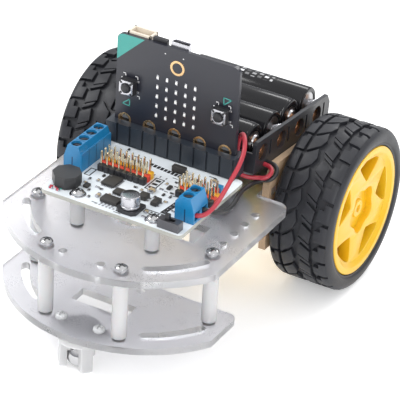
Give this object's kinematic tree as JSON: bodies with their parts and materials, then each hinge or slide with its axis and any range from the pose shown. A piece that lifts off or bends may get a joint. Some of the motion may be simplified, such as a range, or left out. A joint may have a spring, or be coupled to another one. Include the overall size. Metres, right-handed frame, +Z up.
{
  "type": "two wheel robot car",
  "caption": "Small two-wheel robot car: clear deck plates on posts, geared motors, driver board with plug-in controller, battery box and ball caster.",
  "frame": {"origin": "on the ground under the middle of the bounding box", "axes": "+Z up, -Y towards the caster end, +X along the axle to the right wheel"},
  "size_m": [0.1212, 0.149, 0.104],
  "materials": {
    "frosted_acrylic": "frosted clear sheet with bright cut edges",
    "white_nylon": "satin",
    "bright_steel": "polished plated screws",
    "clear_nylon": "semi-clear",
    "kraft_acrylic": "protective paper film left on the sheet",
    "yellow_plastic": "satin moulded",
    "rubber": "matt moulded rubber",
    "motor_steel": "satin can",
    "black_plastic": "matt moulded",
    "white_pcb": "white solder mask with black line print",
    "grey_plastic": "matt moulded",
    "blue_plastic": "moulded",
    "red_plastic": "moulded",
    "yellow_strip": "moulded",
    "gold_pins": "gold flash",
    "ferrite": "matt",
    "can_aluminium": "satin",
    "switch_steel": "satin",
    "black_pcb": "black solder mask with a teal corner",
    "led_white": "small white lamps",
    "gold_copper": "gold plated copper",
    "button_steel": "pressed frames",
    "socket_mix": "cream socket, steel socket and black chips",
    "cell_wrap": "glossy shrink wrap",
    "contact_brass": "plated",
    "red_lead": "flexible insulation",
    "black_lead": "flexible insulation",
    "gear_nylon": "satin"
  },
  "bodies": {
    "chassis": {"upper_deck": "frosted_acrylic", "lower_deck": "frosted_acrylic", "deck_posts": "white_nylon", "upper_deck_screws": "bright_steel", "lower_deck_screws": "bright_steel", "caster_housing": "white_nylon", "caster_screws": "clear_nylon", "outer_bracket_left": "kraft_acrylic", "outer_bracket_right": "kraft_acrylic", "inner_bracket_left": "kraft_acrylic", "inner_bracket_right": "kraft_acrylic", "gearbox_shell_outer_left": "yellow_plastic", "gearbox_shell_outer_right": "yellow_plastic", "gearbox_shell_inner_left": "yellow_plastic", "gearbox_shell_inner_right": "yellow_plastic", "motor_can_left": "motor_steel", "motor_can_right": "motor_steel", "motor_end_caps": "white_nylon", "motor_straps": "clear_nylon", "gearbox_bolts": "bright_steel", "gearbox_nuts": "bright_steel", "driver_board": "white_pcb", "board_posts": "white_nylon", "board_screws": "bright_steel", "edge_connector": "grey_plastic", "motor_terminal_block": "blue_plastic", "power_terminal_block": "blue_plastic", "terminal_screws": "bright_steel", "header_strips_black": "black_plastic", "header_strips_red": "red_plastic", "header_strips_yellow": "yellow_strip", "header_pins": "gold_pins", "inductor": "ferrite", "capacitor_base": "black_plastic", "capacitor_can": "can_aluminium", "board_chips": "black_plastic", "switch_frame": "switch_steel", "battery_box": "black_plastic", "battery_cells": "cell_wrap", "battery_contacts": "contact_brass", "battery_lead_red": "red_lead", "battery_lead_black": "black_lead"},
    "wheel_left": {"wheel_hub_left": "yellow_plastic", "tyre_left": "rubber", "output_shaft_left": "gear_nylon", "output_gear_left": "gear_nylon"},
    "wheel_right": {"wheel_hub_right": "yellow_plastic", "tyre_right": "rubber", "output_shaft_right": "gear_nylon", "output_gear_right": "gear_nylon"},
    "caster_ball": {"caster_ball": "bright_steel"},
    "switch_lever": {"switch_lever": "black_plastic"},
    "controller": {"controller_board": "black_pcb", "display_leds": "led_white", "contact_rings": "gold_copper", "button_frames": "button_steel", "card_sockets": "socket_mix"},
    "button_a": {"button_a": "black_plastic"},
    "button_b": {"button_b": "black_plastic"},
    "reset_button": {"reset_button": "black_plastic"}
  },
  "joints": [
    {"name": "left_wheel_spin", "type": "hinge", "parent": "chassis", "child": "wheel_left", "pos_m": [-0.0476, 0.042, 0.0325], "axis": [1, 0, 0], "continuous": true},
    {"name": "right_wheel_spin", "type": "hinge", "parent": "chassis", "child": "wheel_right", "pos_m": [0.0476, 0.042, 0.0325], "axis": [1, 0, 0], "continuous": true},
    {"name": "caster_roll", "type": "hinge", "parent": "chassis", "child": "caster_ball", "pos_m": [0, -0.0656, 0.00476], "axis": [1, 0, 0], "continuous": true},
    {"name": "power_switch", "type": "slide", "parent": "chassis", "child": "switch_lever", "axis": [1, 0, 0], "range_m": [0, 0.002]},
    {"name": "controller_lift", "type": "slide", "parent": "chassis", "child": "controller", "axis": [0, 0, 1], "range_m": [0, 0.012]},
    {"name": "button_a_press", "type": "slide", "parent": "controller", "child": "button_a", "axis": [0, 1, 0], "range_m": [0, 0.00025], "stiffness_N_per_m": 2000},
    {"name": "button_b_press", "type": "slide", "parent": "controller", "child": "button_b", "axis": [0, 1, 0], "range_m": [0, 0.00025], "stiffness_N_per_m": 2000},
    {"name": "reset_press", "type": "slide", "parent": "controller", "child": "reset_button", "axis": [0, -1, 0], "range_m": [0, 0.00025], "stiffness_N_per_m": 2000}
  ]
}
